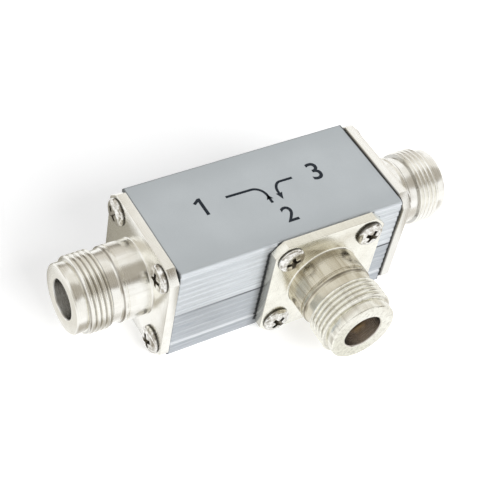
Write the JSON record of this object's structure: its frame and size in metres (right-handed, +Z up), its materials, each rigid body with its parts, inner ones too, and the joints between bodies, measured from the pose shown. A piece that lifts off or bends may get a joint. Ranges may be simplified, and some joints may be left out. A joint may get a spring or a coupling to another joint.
{
  "type": "swr bridge",
  "caption": "Coaxial SWR bridge: a ribbed split case with threaded flange jacks on both ends and on the front wall.",
  "frame": {"origin": "centre of the case's underside; the square flanges reach 0.5 mm lower", "axes": "+X from the output jack to the input jack, +Y from the front wall to the back, +Z up"},
  "size_m": [0.086, 0.0426, 0.0254],
  "materials": {
    "anodised_upper": "satin anodised",
    "anodised_lower": "satin anodised",
    "plated_body": "nickel plated, turned",
    "dielectric": "smooth",
    "contact_metal": "plated",
    "screw_steel": "polished",
    "board": "matt",
    "copper": "bare",
    "chip": "matt",
    "wire": "bare",
    "ferrite": "matt"
  },
  "bodies": {
    "root": {"case_upper_half": "anodised_upper", "case_lower_half": "anodised_lower", "output_jack_body": "plated_body", "output_jack_insulator": "dielectric", "output_jack_contact": "contact_metal", "output_jack_screws": "screw_steel", "input_jack_body": "plated_body", "input_jack_insulator": "dielectric", "input_jack_contact": "contact_metal", "input_jack_screws": "screw_steel", "test_jack_body": "plated_body", "test_jack_insulator": "dielectric", "test_jack_contact": "contact_metal", "test_jack_screws": "screw_steel", "circuit_board": "board", "circuit_tracks": "copper", "chip_resistor_1": "chip", "chip_resistor_2": "chip", "chip_resistor_3": "chip", "chip_resistor_4": "chip", "chip_resistor_5": "chip", "chip_resistor_6": "chip", "balun_shield": "copper", "balun_dielectric": "dielectric", "balun_core": "wire", "ferrite_sleeve_1": "ferrite", "ferrite_sleeve_2": "ferrite", "ferrite_sleeve_3": "ferrite", "ferrite_sleeve_4": "ferrite"}
  },
  "joints": []
}
